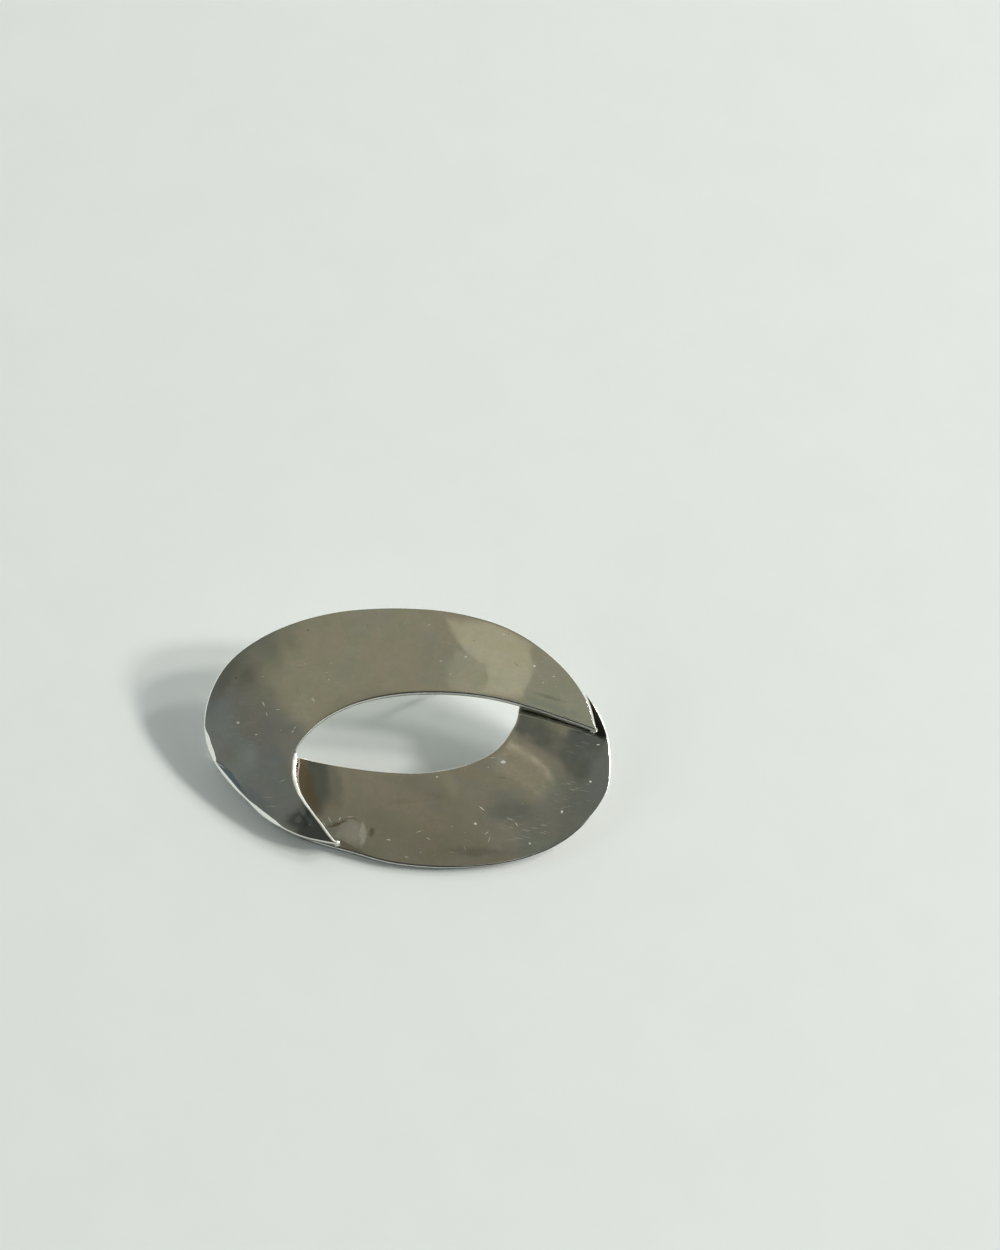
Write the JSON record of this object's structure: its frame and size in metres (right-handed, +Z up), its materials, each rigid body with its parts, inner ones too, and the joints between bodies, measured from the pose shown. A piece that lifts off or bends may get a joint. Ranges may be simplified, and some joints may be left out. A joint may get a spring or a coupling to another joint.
{
  "type": "statement earring",
  "caption": "Large open oval earring of two domed crescent leaves of polished silver, lapped and soldered at their tips, with a straight post behind.",
  "frame": {"origin": "under the middle of the resting earring, on the surface that it lies on", "axes": "+X along the oval, +Y across it towards the side that carries the post, +Z up; the earring lies face up, on its near rim and the tip of its post"},
  "size_m": [0.0516, 0.0318, 0.0118],
  "materials": {
    "polished_silver": "polished sterling silver with a faint tarnish and fine scratches",
    "post_silver": "drawn and polished silver wire"
  },
  "bodies": {
    "root": {"leaves": "polished_silver", "ear_post": "post_silver"}
  },
  "joints": []
}
